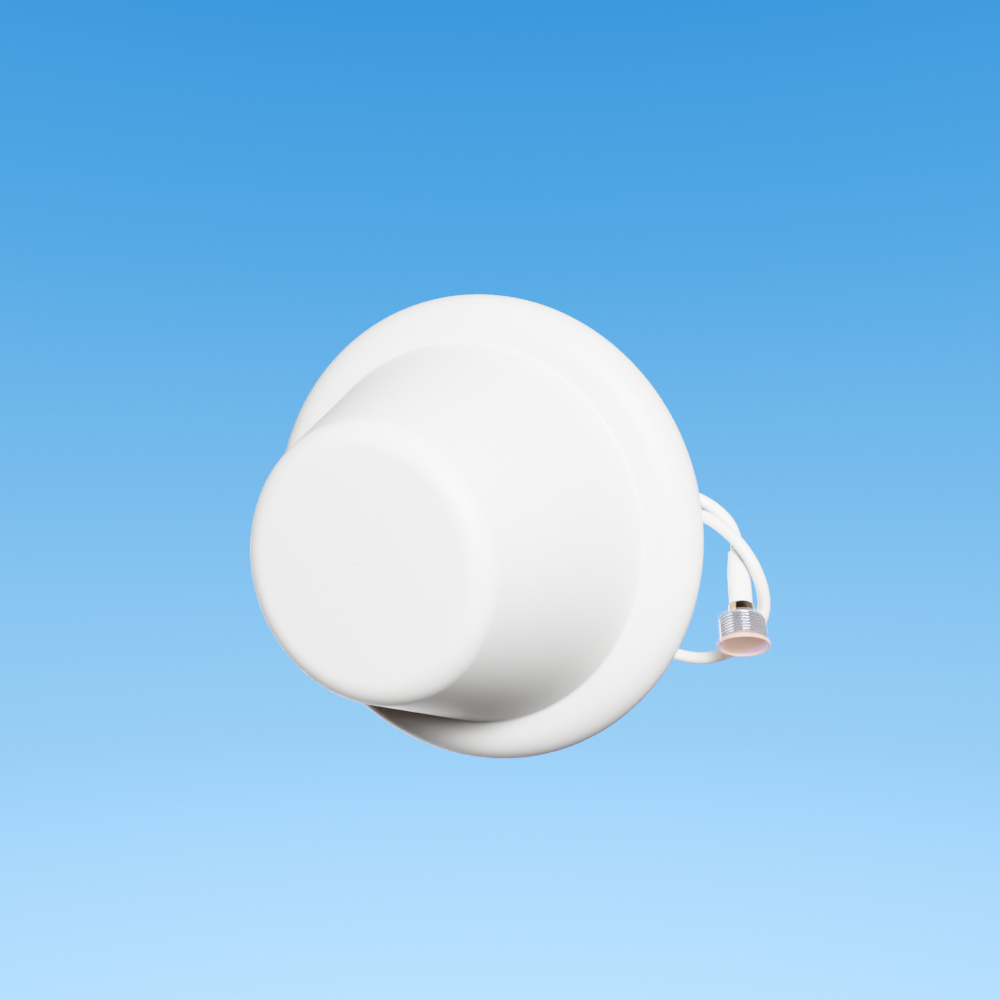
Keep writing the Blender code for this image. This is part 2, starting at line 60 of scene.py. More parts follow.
JACK_THREAD_R, JACK_THREAD_MINOR_R, JACK_PITCH, NECK_END_Z = 7.8, 7.25, 25.4 / 24, 4.6
CAP_BORE_R, CAP_R, CAP_RIM_R, CAP_END_Z = 8.1, 8.5, 9.1, 13.8

# the pigtail's route, as in the CAD model
ROUTE = (
    (0, 0, 14), (0, 0, 25), (0, 0, 35), (0.8, -0.1, 42.5), (4.4, -0.6, 50.2), (10.8, -1.6, 55.8),
    (19.5, -2.9, 57.8), (29, -4.3, 55.0), (38.5, -5.8, 47.4), (48, -7.3, 36.4), (58, -8.8, 24.4),
    (68, -10.1, 14.2), (77, -11.1, 7.6), (85, -11.4, 4.9), (92.6, -10.5, 3.7), (100.0, -7.4, -0.2),
    (106.4, -2.7, -3.3), (111.7, 4.0, -4.8), (114.9, 13.0, -3.0), (114.7, 22.8, 0.4),
    (109.2, 33.2, 3.0), (100.2, 40.1, 4.4), (91.8, 42.6, 4.6), (83.3, 42.3, 4.6), (72.5, 39.2, 4.4),
    (62, 32.2, 4.4), (54.5, 21.5, 4.4), (52, 9, 4.4), (55, -4, 4.4), (63, -14, 4.4),
    (73.5, -18.8, 5.2), (83.2, -18.3, 7.4), (90.8, -15.4, 8.9), (95.6, -12.3, 9.1), (99.3, -9.0, 8.6),
    (102.0, -5.2, 7.1),
)
TAIL = (-24, -20, -16, -9, -2)

# camera: below the ceiling line and looking up at the dome
CAMERA_AT = Vector((0.17800, -0.06273, -0.35487))
CAMERA_RIGHT = Vector((0.90519, 0.0, 0.425))
CAMERA_UP = Vector((-0.05352, -0.99204, 0.114))
CAMERA_BACK = CAMERA_RIGHT.cross(CAMERA_UP)


# ---------------------------------------------------------------- materials

def new_material(name):
    mat = bpy.data.materials.new(name)
    mat.use_nodes = True
    nodes, links = mat.node_tree.nodes, mat.node_tree.links
    return mat, nodes, links, nodes["Principled BSDF"]


# most of the noise lies in this range, so tones and gloss are spread over it
NOISE_LOW, NOISE_HIGH = 0.3, 0.7


def noise(nodes, links, scale, detail, rough=0.55):
    coords = nodes.new("ShaderNodeTexCoord")
    tex = nodes.new("ShaderNodeTexNoise")
    tex.inputs["Scale"].default_value = scale
    tex.inputs["Detail"].default_value = detail
    tex.inputs["Roughness"].default_value = rough
    links.new(coords.outputs["Object"], tex.inputs["Vector"])
    return tex.outputs["Fac"]


def ramp(nodes, links, fac, low, high):
    node = nodes.new("ShaderNodeValToRGB")
    node.color_ramp.elements[0].position = NOISE_LOW
    node.color_ramp.elements[1].position = NOISE_HIGH
    node.color_ramp.elements[0].color = (*low, 1)
    node.color_ramp.elements[1].color = (*high, 1)
    links.new(fac, node.inputs["Fac"])
    return node.outputs["Color"]


def spread(nodes, links, fac, low, high):
    node = nodes.new("ShaderNodeMapRange")
    node.inputs["From Min"].default_value = NOISE_LOW
    node.inputs["From Max"].default_value = NOISE_HIGH
    node.inputs["To Min"].default_value = low
    node.inputs["To Max"].default_value = high
    links.new(fac, node.inputs["Value"])
    return node.outputs["Result"]


def bump(nodes, links, height, strength, distance, normal=None):
    node = nodes.new("ShaderNodeBump")
    node.inputs["Strength"].default_value = strength
    node.inputs["Distance"].default_value = distance
    links.new(height, node.inputs["Height"])
    if normal:
        links.new(normal, node.inputs["Normal"])
    return node.outputs["Normal"]


def plastic(name, low, high, roughness, grain, grain_depth, wave_depth=0.0):
    """Moulded plastic: faint tone drift, a fine spark-eroded grain and a slow waviness."""
    mat, nodes, links, shader = new_material(name)
    tone = noise(nodes, links, 14.0, 2.0)
    links.new(ramp(nodes, links, tone, low, high), shader.inputs["Base Color"])
    fine = noise(nodes, links, grain, 3.0, 0.6)
    links.new(spread(nodes, links, fine, roughness - 0.05, roughness + 0.05), shader.inputs["Roughness"])
    normal = bump(nodes, links, fine, 0.35, grain_depth)
    if wave_depth:
        normal = bump(nodes, links, noise(nodes, links, 22.0, 1.0), 0.4, wave_depth, normal)
    links.new(normal, shader.inputs["Normal"])
    return mat


def metal(name, low, high, roughness, scratch=900.0):
    """Plated or bare metal with a mottled tone and a scratched gloss."""
    mat, nodes, links, shader = new_material(name)
    tone = noise(nodes, links, 160.0, 5.0)
    links.new(ramp(nodes, links, tone, low, high), shader.inputs["Base Color"])
    fine = noise(nodes, links, scratch, 5.0, 0.7)
    links.new(spread(nodes, links, fine, roughness - 0.06, roughness + 0.1), shader.inputs["Roughness"])
    links.new(bump(nodes, links, fine, 0.25, 0.00003), shader.inputs["Normal"])
    shader.inputs["Metallic"].default_value = 1.0
    return mat


def soft_clear(name, low, high, alpha):
    """Translucent soft plastic with a faint cast and flow marks."""
    mat, nodes, links, shader = new_material(name)
    flow = noise(nodes, links, 120.0, 3.0)
    links.new(ramp(nodes, links, flow, low, high), shader.inputs["Base Color"])
    links.new(spread(nodes, links, flow, 0.12, 0.26), shader.inputs["Roughness"])
    links.new(bump(nodes, links, flow, 0.3, 0.00008), shader.inputs["Normal"])
    shader.inputs["Alpha"].default_value = alpha
    return mat


abs_white = plastic("abs_white", (0.80, 0.812, 0.807), (0.825, 0.835, 0.83), 0.44, 2600.0, 0.00003, 0.00012)
abs_plate = plastic("abs_plate", (0.80, 0.812, 0.805), (0.84, 0.85, 0.843), 0.52, 1500.0, 0.00008)
nylon = plastic("nylon_white", (0.80, 0.80, 0.775), (0.84, 0.84, 0.82), 0.46, 1800.0, 0.00006)
pvc = plastic("pvc_white", (0.83, 0.825, 0.805), (0.875, 0.87, 0.855), 0.36, 1100.0, 0.00005, 0.0001)
shrink_white = plastic("shrink_white", (0.84, 0.84, 0.83), (0.885, 0.885, 0.875), 0.3, 700.0, 0.00007, 0.0002)
ptfe = plastic("ptfe_white", (0.88, 0.88, 0.86), (0.92, 0.92, 0.9), 0.48, 1400.0, 0.00004)
zinc = metal("zinc_steel", (0.52, 0.53, 0.55), (0.68, 0.69, 0.71), 0.32)
# nickel with a blue tint: the blue is a painted reflection of a cool sky
nickel = metal("nickel", (0.62, 0.68, 0.78), (0.76, 0.81, 0.88), 0.16)
# nickel for the jack's neck, tinted warm brown as a painted warm reflection
neck_painted_warm = metal("nickel_painted_warm", (0.42, 0.30, 0.18), (0.58, 0.44, 0.29), 0.12)
brass = metal("brass", (0.66, 0.47, 0.19), (0.82, 0.63, 0.30), 0.3)
aluminium = metal("aluminium_sheet", (0.68, 0.69, 0.71), (0.80, 0.81, 0.83), 0.38, 500.0)
cap_wall = soft_clear("cap_wall", (0.80, 0.74, 0.78), (0.88, 0.83, 0.87), 0.08)
# the cap's end: its own pinkish plastic, with painted warm light from below shining through it
cap_end_painted_warm = soft_clear("cap_end_painted_warm", (0.88, 0.55, 0.45), (0.94, 0.70, 0.62), 0.62)


# ---------------------------------------------------------------- shape helpers

# in millimetres: what closes a spin's seam, what counts as one point, and the shortest edge kept
SEAM_GAP, SAME_POINT, SHORTEST_EDGE = 2e-3, 1e-4, 1e-5
SHARP_ANGLE = math.radians(30)


def turned(profile, steps):
    """Spin a closed (radius, z) outline, or an open one that starts and ends on the axis."""
    bm = bmesh.new()
    verts = [bm.verts.new((r, 0, z)) for r, z in profile]
    edges = [bm.edges.new(pair) for pair in zip(verts, verts[1:])]
    if profile[0][0] > 0 or profile[-1][0] > 0:
        edges.append(bm.edges.new((verts[-1], verts[0])))
    bmesh.ops.spin(bm, geom=verts + edges, cent=(0, 0, 0), axis=(0, 0, 1), dvec=(0, 0, 0),
                   angle=math.tau, steps=steps, use_merge=False)
    bmesh.ops.remove_doubles(bm, verts=bm.verts, dist=SEAM_GAP)
    return bm


def rounded(corners, radii, steps):
    """Replace each inner corner of a polyline by an arc; a radius of 0 keeps it sharp."""
    out = [Vector(corners[0])]
    for i, (radius, count) in enumerate(zip(radii, steps), 1):
        a, p, b = (Vector(corners[j]) for j in (i - 1, i, i + 1))
        if not radius:
            out.append(p)
            continue
        u, v = (a - p).normalized(), (b - p).normalized()
        half = math.acos(max(-1, min(1, u.dot(v)))) / 2
        start, end = p + u * radius / math.tan(half), p + v * radius / math.tan(half)
        centre = p + (u + v).normalized() * radius / math.sin(half)
        r0, r1 = start - centre, end - centre
        sweep = r0.angle_signed(r1)
        for s in range(count + 1):
            c, d = math.cos(-sweep * s / count), math.sin(-sweep * s / count)
            out.append(centre + Vector((r0.x * c - r0.y * d, r0.x * d + r0.y * c)))
    out.append(Vector(corners[-1]))
    return [(p.x, p.y) for p in out]


def softened(outline, radius, steps=3):
    """Round every corner of a closed outline by the same small radius."""
    n = len(outline)
    out = []
    for i, p in enumerate(outline):
        a, b = Vector(outline[i - 1]), Vector(outline[(i + 1) % n])
        p = Vector(p)
        if p.x == 0:
            out.append((p.x, p.y))
            continue
        reach = min(radius, (a - p).length * 0.45, (b - p).length * 0.45)
        start, end = p + (a - p).normalized() * reach, p + (b - p).normalized() * reach
        for s in range(steps + 1):
            t = s / steps
            q = start * (1 - t) ** 2 + p * 2 * t * (1 - t) + end * t ** 2
            out.append((q.x, q.y))
    return out


def hex_radius(across_flats, angle):
    return across_flats / 2 / math.cos(angle % (math.pi / 3) - math.pi / 6)


def ringed(rings, columns):
    """Skin a closed stack of rings; each is a function of the angle, or a radius, with a z."""
    bm = bmesh.new()
    loops = []
    for radius, z in rings:
        loop = []
        for c in range(columns):
            angle = math.tau * c / columns
            r = radius(angle) if callable(radius) else radius
            loop.append(bm.verts.new((r * math.cos(angle), r * math.sin(angle), z)))
        loops.append(loop)
    for low, high in zip(loops, loops[1:] + loops[:1]):
        for c in range(columns):
            d = (c + 1) % columns
            bm.faces.new((low[c], low[d], high[d], high[c]))
    return bm


# one turn of thread, as shares of its pitch and of its depth
THREAD_FORM = ((0.0, 0.0), (0.12, 0.0), (0.40, 0.92), (0.46, 1.0), (0.60, 1.0), (0.66, 0.92), (0.94, 0.0))


def threaded(below, z0, z1, pitch, minor, major, above, columns):
    """A turned body whose middle carries a thread from z0 to z1, fading out at both ends."""
    bm = bmesh.new()

    def ring(radius, z):
        return [bm.verts.new((radius * math.cos(math.tau * c / columns),
                              radius * math.sin(math.tau * c / columns), z)) for c in range(columns)]

    def bridge(low, high):
        for c in range(columns):
            d = (c + 1) % columns
            bm.faces.new((low[c], low[d], high[d], high[c]))

    rows = {}
    per = len(THREAD_FORM)
    first, last = -2 * per, (int((z1 - z0) / pitch) + 2) * per
    for k in range(first, last + 1):
        turn, (share, height) = k // per, THREAD_FORM[k % per]
        for c in range(columns):
            z = z0 + pitch * (turn + share + c / columns)
            fade = max(0.0, min(1.0, (z - z0) / (0.5 * pitch), (z1 - z) / (0.5 * pitch)))
            radius = minor + (major - minor) * height * fade
            z = min(max(z, z0), z1)
            angle = math.tau * c / columns
            rows[k, c] = bm.verts.new((radius * math.cos(angle), radius * math.sin(angle), z))
    for k in range(first, last):
        for c in range(columns):
            step, d = (0, c + 1) if c + 1 < columns else (per, 0)
            if (k + 1 + step, d) in rows:
                bm.faces.new((rows[k, c], rows[k + step, d], rows[k + 1 + step, d], rows[k + 1, c]))
    lower = [ring(*p) for p in below] + [ring(minor, z0)]
    upper = [ring(minor, z1)] + [ring(*p) for p in above]
    for chain in (lower, upper):
        for low, high in zip(chain, chain[1:]):
            bridge(low, high)
    if below[0][0] > 0:
        bridge(upper[-1], lower[0])
    return bm


def add_piece(name, bm, mat, body, nodes, matrix=None):
    """A finished piece from a bmesh in millimetres."""
    bmesh.ops.remove_doubles(bm, verts=bm.verts, dist=SAME_POINT)
    bmesh.ops.dissolve_degenerate(bm, edges=bm.edges, dist=SHORTEST_EDGE)
    bmesh.ops.recalc_face_normals(bm, faces=bm.faces)
    if matrix:
        bm.transform(matrix)
    bmesh.ops.scale(bm, vec=(MM, MM, MM), verts=bm.verts)
    mesh = bpy.data.meshes.new(name)
    bm.to_mesh(mesh)
    bm.free()
    mesh.shade_smooth()
    mesh.set_sharp_from_angle(angle=SHARP_ANGLE)
    mesh.materials.append(mat)
    obj = bpy.data.objects.new(name, mesh)
    bpy.context.scene.collection.objects.link(obj)
    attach(obj, body)
    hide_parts(*nodes)
    return obj


def cut(obj, bm):
    """Cut a tool bmesh, in millimetres, out of a piece and keep the result."""
    bmesh.ops.remove_doubles(bm, verts=bm.verts, dist=SAME_POINT)
    bmesh.ops.recalc_face_normals(bm, faces=bm.faces)
    bmesh.ops.scale(bm, vec=(MM, MM, MM), verts=bm.verts)
    mesh = bpy.data.meshes.new("tool")
    bm.to_mesh(mesh)
    bm.free()
    tool = bpy.data.objects.new("tool", mesh)
    bpy.context.scene.collection.objects.link(tool)
    mod = obj.modifiers.new("cut", "BOOLEAN")
    mod.operation, mod.solver, mod.object = "DIFFERENCE", "EXACT", tool
    graph = bpy.context.evaluated_depsgraph_get()
    result = bpy.data.meshes.new_from_object(obj.evaluated_get(graph))
    obj.modifiers.clear()
    obj.data = result
    result.shade_smooth()
    result.set_sharp_from_angle(angle=SHARP_ANGLE)
    bpy.data.objects.remove(tool, do_unlink=True)


def placed(bm, matrix, into):
    """Move a bmesh's shape into another bmesh, placed by a matrix."""
    bmesh.ops.remove_doubles(bm, verts=bm.verts, dist=SAME_POINT)
    bm.transform(matrix)
    mesh = bpy.data.meshes.new("copy")
    bm.to_mesh(mesh)
    bm.free()
    into.from_mesh(mesh)
    bpy.data.meshes.remove(mesh)


def around(angle, radius):
    return Matrix.Rotation(math.radians(angle), 4, "Z") @ Matrix.Translation((radius, 0, 0))


# ---------------------------------------------------------------- camera

camera = bpy.data.objects.new("camera", bpy.data.cameras.new("camera"))
bpy.context.scene.collection.objects.link(camera)
camera.matrix_world = Matrix.Translation(CAMERA_AT) @ Matrix(
    (CAMERA_RIGHT, CAMERA_UP, CAMERA_BACK)).transposed().to_4x4()
camera.data.sensor_width = 36.0
camera.data.lens = 36.0
camera.data.clip_start = 0.01
bpy.context.scene.camera = camera


# ---------------------------------------------------------------- pigtail

def smooth_path(points, spacing):
    """Sample a centripetal Catmull-Rom curve at an even spacing, in millimetres."""
    steps = 20
    pts = [Vector(p) for p in points] + [JACK_POINT + JACK_AXIS * t for t in TAIL]
    dense = []
    for i in range(len(pts) - 1):
        p1, p2 = pts[i], pts[i + 1]
        p0 = pts[i - 1] if i else p1 * 2 - p2
        p3 = pts[i + 2] if i + 2 < len(pts) else p2 * 2 - p1
        t0, t1 = 0.0, (p1 - p0).length ** 0.5
        t2 = t1 + (p2 - p1).length ** 0.5
        t3 = t2 + (p3 - p2).length ** 0.5
        for s in range(steps):
            t = t1 + (t2 - t1) * s / steps
            a1 = p0 * ((t1 - t) / (t1 - t0)) + p1 * ((t - t0) / (t1 - t0))
            a2 = p1 * ((t2 - t) / (t2 - t1)) + p2 * ((t - t1) / (t2 - t1))
            a3 = p2 * ((t3 - t) / (t3 - t2)) + p3 * ((t - t2) / (t3 - t2))
            b1 = a1 * ((t2 - t) / (t2 - t0)) + a2 * ((t - t0) / (t2 - t0))
            b2 = a2 * ((t3 - t) / (t3 - t1)) + a3 * ((t - t1) / (t3 - t1))
            dense.append(b1 * ((t2 - t) / (t2 - t1)) + b2 * ((t - t1) / (t2 - t1)))
    dense.append(pts[-1])
    lengths = [0.0]
    for a, b in zip(dense, dense[1:]):
        lengths.append(lengths[-1] + (b - a).length)
    count = round(lengths[-1] / spacing)
    out, j = [], 0
    for i in range(count + 1):
        want = lengths[-1] * i / count
        while j < len(dense) - 2 and lengths[j + 1] < want:
            j += 1
        out.append(dense[j].lerp(dense[j + 1], (want - lengths[j]) / (lengths[j + 1] - lengths[j])))
    return out, lengths[-1]


path, path_length = smooth_path(ROUTE, 2.0)
curve = bpy.data.curves.new("pigtail", "CURVE")
curve.dimensions = "3D"
curve.bevel_depth = COAX_R * MM
curve.bevel_resolution = 8
curve.use_fill_caps = True
spline = curve.splines.new("POLY")
spline.points.add(len(path) - 1)
for point, p in zip(spline.points, path):
    point.co = (*(p * MM), 1.0)
spline.use_smooth = True
curve.materials.append(pvc)
pigtail = bpy.data.objects.new("pigtail", curve)
bpy.context.scene.collection.objects.link(pigtail)
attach(pigtail, "housing")
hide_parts("coax_cord")

boot_line = [(COAX_BORE_R, 13.0), (3.9, 13.0), (3.9, STUD_TOP_Z + 0.3), (7.4, STUD_TOP_Z + 0.3),
             (7.4, STUD_TOP_Z + 1.5), (6.0, STUD_TOP_Z + 2.0)]
for z in (25.6, 28.2):
    r = 5.4 - 0.3 * (z - 25.0)
    boot_line += [(r, z - 0.7), (r, z + 0.7), (r - 0.8, z + 0.9), (r - 0.8, z + 1.7)]
boot_line += [(3.3, BOOT_TOP_Z - 0.6), (3.0, BOOT_TOP_Z), (COAX_BORE_R, BOOT_TOP_Z)]
boot = add_piece("boot", turned(softened(boot_line, 0.35), 72), pvc, "housing",
                 ["cable_boot"])

jack_matrix = Matrix.Translation(JACK_POINT) @ JACK_AXIS.to_track_quat("Z", "Y").to_matrix().to_4x4()
sleeve_line = [(2.9, -21.0), (3.2, -21.0), (3.35, -19.0), (3.62, -16.4), (3.8, -14.5), (3.93, -13.2),
               (3.98, -12.0), (3.95, -9.0), (4.0, -5.0), (4.0, -0.8), (3.85, -0.4),
               (3.6, -0.4), (3.6, -13.3), (COAX_BORE_R, -13.9), (COAX_BORE_R, -17.5)]
sleeve = add_piece("shrink_sleeve", turned(softened(sleeve_line, 0.25), 72), shrink_white, "housing",
                   ["heat_shrink"], jack_matrix)
jack_bm = threaded(
    [(0, 0), (4.1, 0), (4.32, 0.08), (4.4, 0.3), (4.4, 4.45), (4.5, 4.6), (6.9, 4.6), (7.1, 4.75)],
    5.0, 13.1, JACK_PITCH, JACK_THREAD_MINOR_R, JACK_THREAD_R,
    [(7.1, 13.3), (6.8, 13.5), (4.6, 13.5), (4.4, 13.42), (4.3, 13.2), (4.3, 6.2), (0, 6.2)], 96)
# the neck is the same nickel as the rest of the jack, tinted warmer as a painted warm reflection
for face in jack_bm.faces:
    face.material_index = int(face.calc_center_median().z < NECK_END_Z)
jack_body = add_piece("jack_body", jack_bm, nickel, "housing", ["connector_body"], jack_matrix)
jack_body.data.materials.append(neck_painted_warm)
cap_line = [(0, 14.7), (7.6, 14.7), (8.05, 15.25), (8.3, 15.4), (CAP_RIM_R - 0.25, 15.4), (CAP_RIM_R, 15.15),
            (CAP_RIM_R, 14.4), (CAP_RIM_R - 0.25, 14.1), (CAP_R, 13.9), (CAP_R - 0.1, 4.6),
            (CAP_R - 0.2, 4.4), (CAP_BORE_R, 4.4), (CAP_BORE_R, CAP_END_Z), (0, CAP_END_Z)]
cap_bm = turned(softened(cap_line, 0.12, 2), 96)
# the cap's end is less clear than its wall, and warmer: painted warm light from below shining through it
for face in cap_bm.faces:
    face.material_index = int(face.calc_center_median().z > CAP_END_Z - 0.05)
cap = add_piece("jack_cap", cap_bm, cap_wall, "cap_body", ["dust_cap"], jack_matrix)
cap.data.materials.append(cap_end_painted_warm)


# ---------------------------------------------------------------- radome

def skin(inset, steps):
    """The radome's half section from the axis to the rim, moved inwards by inset."""
    slope = math.atan2(DOME_BASE_R - DOME_TOP_CORNER_R, FLANGE_FACE_Z - DOME_Z)
    top, face, rim = DOME_Z + inset, FLANGE_FACE_Z + inset, FLANGE_R - inset
    shift = inset * math.tan(slope) - inset / math.cos(slope)
    corners = [(0, top), (DOME_TOP_CORNER_R + shift, top), (DOME_BASE_R + shift, face), (rim, face), (rim, 0)]
    radii = (DOME_EDGE_FILLET - inset, DOME_ROOT_FILLET + inset, SHOULDER_FILLET - inset)
    return rounded(corners, radii, steps)


def held(outline, distance):
    """Add a point near both ends of each long run, so that smooth shading bends only at the curves."""
    out = [outline[0]]
    for a, b in zip(outline, outline[1:]):
        start, end = Vector(a), Vector(b)
        share = distance / (end - start).length
        if share < 0.2:
            out += [tuple(start.lerp(end, share)), tuple(start.lerp(end, 1 - share))]
        out.append(b)
    return out


outer = skin(0, (20, 8, 24))
inner = skin(WALL, (8, 5, 10))
# the moulding's gate mark: a shallow ring in the middle of the dome's face, as radius and depth
GATE = ((0, 0.02), (0.3, 0.03), (0.45, 0.1), (0.9, 0.12), (1.2, 0.05), (1.6, 0))
gate = [(r, DOME_Z + depth) for r, depth in GATE]
rim = [(FLANGE_R, -0.35), (FLANGE_R - 0.1, -0.1), (FLANGE_R - 0.35, 0)]
section = held(gate + outer[1:-1] + rim + inner[::-1], distance=0.7)
add_piece("dome_shell", turned(section, 256), abs_white, "housing", ["radome", "radome_flange"])


# ---------------------------------------------------------------- back of the antenna

plate_line = [
    (STUD_HOLE_R, -3.4), (22.0, -3.4), (23.0, -2.4), (84.6, -2.4), (84.6, -6.0), (86.2, -6.0), (86.2, -2.4),
    (PLATE_R, -2.4), (PLATE_R, -0.4), (PLATE_R - 0.4, 0), (64.6, 0), (64.3, -0.35), (63.1, -0.35), (62.8, 0),
    (STUD_RECESS_R + 0.2, 0), (STUD_RECESS_R, -0.2), (STUD_RECESS_R, -STUD_RECESS_DEPTH),
    (STUD_HOLE_R, -STUD_RECESS_DEPTH)]
plate = add_piece("back_plate", turned(softened(plate_line, 0.12, 2), 192), abs_plate, "housing",
                  ["base_plate"])
holes = bmesh.new()
for angle in SCREW_ANGLES:
    placed(turned([(0, -3.0), (1.6, -3.0), (1.6, -2.0), (3.6, -0.2), (3.6, 0.5), (0, 0.5)], 40),
           around(angle, SCREW_CIRCLE_R), holes)
cut(plate, holes)

add_piece("stud", threaded(
    [(STUD_BORE_R, -7.4), (9.0, -7.4), (9.6, -6.8), (9.6, -0.2), (9.2, 0.2)], 0.6, STUD_TOP_Z - 0.6,
    STUD_PITCH, STUD_MINOR_R, STUD_MAJOR_R,
    [(STUD_MINOR_R - 0.2, STUD_TOP_Z - 0.2), (STUD_MINOR_R - 0.6, STUD_TOP_Z),
     (STUD_BORE_R + 0.4, STUD_TOP_Z), (STUD_BORE_R, STUD_TOP_Z - 0.4)], 96),
    nylon, "housing", ["mounting_stud"])

washer_line = [(NUT_BORE_R, 0), (WASHER_R, 0), (WASHER_R, WASHER_T), (NUT_BORE_R, WASHER_T)]
add_piece("ring_washer", turned(softened(washer_line, 0.3), 128), zinc, "washer_body",
          ["washer"], Matrix.Translation((0, 0, WASHER_Z)))


def chamfered(limit):
    return lambda angle: min(hex_radius(NUT_AF, angle), limit)


nut_rings = [(NUT_BORE_R + 0.4, 0), (NUT_FLANGE_R - 0.3, 0), (NUT_FLANGE_R, 0.25), (NUT_FLANGE_R, 1.0),
             (NUT_FLANGE_R - 0.25, 1.3), (NUT_FLANGE_R - 1.2, 1.9)]
corner_r = NUT_AF / 2 / math.cos(math.pi / 6)
nut_rings += [(chamfered(corner_r), 2.1)]
nut_rings += [(chamfered(corner_r - drop * 1.7), NUT_H - 1.3 + drop) for drop in (0.0, 0.3, 0.6, 0.9, 1.15)]
nut_rings += [(NUT_AF / 2 - 0.6, NUT_H), (NUT_BORE_R + 0.9, NUT_H), (NUT_BORE_R, NUT_H - 0.8),
              (NUT_BORE_R, 0.5)]
add_piece("hex_nut", ringed(nut_rings, 144), nylon, "nut_body", ["mounting_nut"],
          Matrix.Translation((0, 0, NUT_Z)))

# each screw's cross recess stops at an angle of its own; one arm is a hair wider, so no faces coincide
CROSS_LENGTH, CROSS_WIDTH, CROSS_DEPTH, CROSS_WIDER, CROSS_TURN = 3.4, 0.62, 2.6, 0.01, 17
for i, angle in enumerate(SCREW_ANGLES, 1):
    line = [(0, -10.4), (0.5, -10.4), (1.0, -9.4), (1.0, -2.1), (1.2, -1.9), (3.0, -0.55), (3.1, -0.35),
            (3.0, -0.2), (2.0, -0.08), (1.0, -0.03), (0, -0.02)]
    spot = around(angle, SCREW_CIRCLE_R)
    screw = add_piece(f"back_screw_{i}", turned(line, 48), zinc, "housing",
                      [f"cover_screw_{i}"], spot)
    for quarter, width in ((0, CROSS_WIDTH), (90, CROSS_WIDTH + CROSS_WIDER)):
        arm = bmesh.new()
        turn = Matrix.Rotation(math.radians(quarter + CROSS_TURN * i), 4, "Z")
        bmesh.ops.create_cube(arm, size=1, matrix=spot @ turn @
                              Matrix.Diagonal((CROSS_LENGTH, width, CROSS_DEPTH, 1)))
        cut(screw, arm)

# CAD nodes that keep their own shape
KEPT = {
    "stud_lock_nut": nylon, "ground_plate": aluminium, "radiator_cone": aluminium, "feed_insulator": ptfe,
    "feed_pin": brass, "feed_nut": brass, "braid_collar": brass, "coax_tail": pvc, "crimp_ferrule": nickel,
    "connector_insulator": ptfe, "connector_contact": brass,
}
for i in (1, 2, 3):
    KEPT.update({f"ground_screw_{i}": zinc, f"lip_screw_{i}": zinc, f"standoff_{i}": ptfe,
                 f"shorting_strap_{i}": brass})
for name, mat in KEPT.items():
    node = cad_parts[name]
    node.data.materials.clear()
    node.data.materials.append(mat)

# ---------------------------------------------------------------- floor, sky and lights

# the floor shows from above only, since the camera is under it; it bounces no light and casts no shadow
FLOOR_SIZE, FLOOR_GAP = 20, 0.0003
floor_bm = bmesh.new()
bmesh.ops.create_grid(floor_bm, x_segments=1, y_segments=1, size=FLOOR_SIZE)
floor_mesh = bpy.data.meshes.new("floor")
floor_bm.to_mesh(floor_mesh)
floor_bm.free()
floor = bpy.data.objects.new("floor", floor_mesh)
bpy.context.scene.collection.objects.link(floor)
floor.location.z = DOME_Z * MM - FLOOR_GAP
mat, nodes, links, shader = new_material("pale_floor")
shader.inputs["Base Color"].default_value = (0.80, 0.86, 0.91, 1)
shader.inputs["Roughness"].default_value = 0.7
clear = nodes.new("ShaderNodeBsdfTransparent")
mix = nodes.new("ShaderNodeMixShader")
side = nodes.new("ShaderNodeNewGeometry")
links.new(side.outputs["Backfacing"], mix.inputs["Fac"])
links.new(shader.outputs["BSDF"], mix.inputs[1])
links.new(clear.outputs["BSDF"], mix.inputs[2])
links.new(mix.outputs["Shader"], nodes["Material Output"].inputs["Surface"])
floor_mesh.materials.append(mat)
for ray in ("diffuse", "glossy", "transmission", "shadow"):
    setattr(floor, f"visible_{ray}", False)

# highlights roll off gently, as on film: light beyond CURVE_END is white
CURVE_END = 8.0


def shoulder(level):
    return level / math.sqrt(1 + level * level)


def before_shoulder(shown):
    return shown / math.sqrt(1 - shown * shown)


world = bpy.data.worlds.new("studio")
bpy.context.scene.world = world
world.use_nodes = True
nodes, links = world.node_tree.nodes, world.node_tree.links
nodes.clear()
coords = nodes.new("ShaderNodeTexCoord")


def along(direction, low, high):
    """How far a ray's direction leans along a vector, from 0 at low to 1 at high."""
    dot = nodes.new("ShaderNodeVectorMath")
    dot.operation = "DOT_PRODUCT"
    dot.inputs[1].default_value = direction
    links.new(coords.outputs["Generated"], dot.inputs[0])
    fit = nodes.new("ShaderNodeMapRange")
    fit.inputs["From Min"].default_value = low
    fit.inputs["From Max"].default_value = high
    links.new(dot.outputs["Value"], fit.inputs["Value"])
    return fit.outputs["Result"]


def backdrop(fac, colours, strength):
    blend = nodes.new("ShaderNodeValToRGB")
    points = blend.color_ramp.elements
    while len(points) < len(colours):
        points.new(0.5)
    for element, (place, colour) in zip(points, colours):
        element.position = place
        element.color = (*colour, 1)
    links.new(fac, blend.inputs["Fac"])
    shade = nodes.new("ShaderNodeBackground")
    shade.inputs["Strength"].default_value = strength
    links.new(blend.outputs["Color"], shade.inputs["Color"])
    return shade.outputs["Background"]


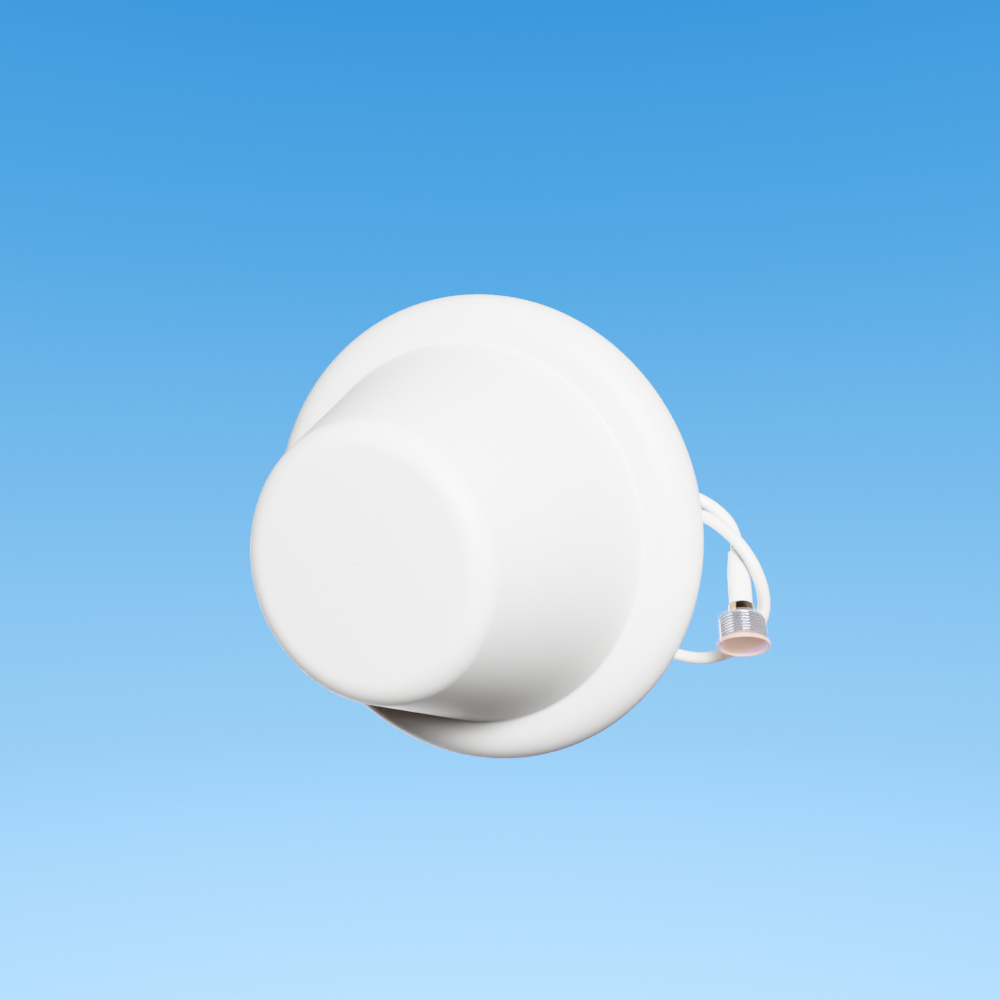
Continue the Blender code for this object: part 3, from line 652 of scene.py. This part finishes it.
# the camera sees a sky that pales from one side to the other; all other rays see a dim surround, which
# is grey from above and warm and darker from below
SKY_BLUES = ((0.043, 0.314, 0.723), (0.095, 0.402, 0.786), (0.195, 0.508, 0.847), (0.322, 0.623, 0.913),
             (0.497, 0.761, 0.99))
sky_stops = [(i / 4, [before_shoulder(c) / CURVE_END for c in blue]) for i, blue in enumerate(SKY_BLUES)]
HALF_VIEW = 0.4472  # sine of half the camera's field of view
sky = backdrop(along(CAMERA_UP, HALF_VIEW, -HALF_VIEW), sky_stops, CURVE_END)
surround = backdrop(along(Vector((0, 0, 1)), -0.1, 0.3),
                    [(0.0, (0.045, 0.026, 0.017)), (1.0, (0.45, 0.45, 0.45))], 1.0)
seen = nodes.new("ShaderNodeLightPath")
mix = nodes.new("ShaderNodeMixShader")
links.new(seen.outputs["Is Camera Ray"], mix.inputs["Fac"])
links.new(surround, mix.inputs[1])
links.new(sky, mix.inputs[2])
out = nodes.new("ShaderNodeOutputWorld")
links.new(mix.outputs["Shader"], out.inputs["Surface"])

TARGET = Vector((0.01, 0.0, -0.03))
GLOW_DISTANCE = 360


def soft_light(name, offset, size, power, colour=(1, 1, 1)):
    """A square area light at an offset from the target, given as right, up and towards the camera."""
    data = bpy.data.lights.new(name, "AREA")
    data.shape, data.size, data.energy, data.color = "SQUARE", size, power, colour
    obj = bpy.data.objects.new(name, data)
    bpy.context.scene.collection.objects.link(obj)
    obj.location = TARGET + CAMERA_RIGHT * offset[0] + CAMERA_UP * offset[1] + CAMERA_BACK * offset[2]
    obj.rotation_euler = (TARGET - obj.location).to_track_quat("-Z", "Y").to_euler()
    obj.visible_camera = False


soft_light("key", (0.02, 0.37, 1.0), 0.3, 23.0)
soft_light("key_side", (0.35, 0.5, 0.9), 0.3, 8.0)
soft_light("ceiling_side", (-0.3, -0.3, -0.9), 0.9, 9.0)

# a small warm glow on the cap's end
glow = bpy.data.objects.new("cap_glow", bpy.data.lights.new("cap_glow", "SPOT"))
bpy.context.scene.collection.objects.link(glow)
glow.data.energy, glow.data.color, glow.data.shadow_soft_size = 6.5, (1.0, 0.88, 0.82), 0.04
glow.data.spot_size, glow.data.spot_blend = math.radians(9), 0.6
glow.location = (JACK_POINT + JACK_AXIS * GLOW_DISTANCE) * MM
glow.rotation_euler = (-JACK_AXIS).to_track_quat("-Z", "Y").to_euler()

# the tone curve that makes the shoulder
view = bpy.context.scene.view_settings
view.view_transform = "Standard"
view.look = "None"
view.use_curve_mapping = True
mapping = view.curve_mapping
mapping.white_level = (CURVE_END, CURVE_END, CURVE_END)
tone = mapping.curves[3]
tone.points[1].location = (1.0, shoulder(CURVE_END))
for level in (0.125, 0.25, 0.5, 0.75, 1.0, 1.5, 2.0, 3.0, 4.5):
    tone.points.new(level / CURVE_END, shoulder(level))
mapping.update()
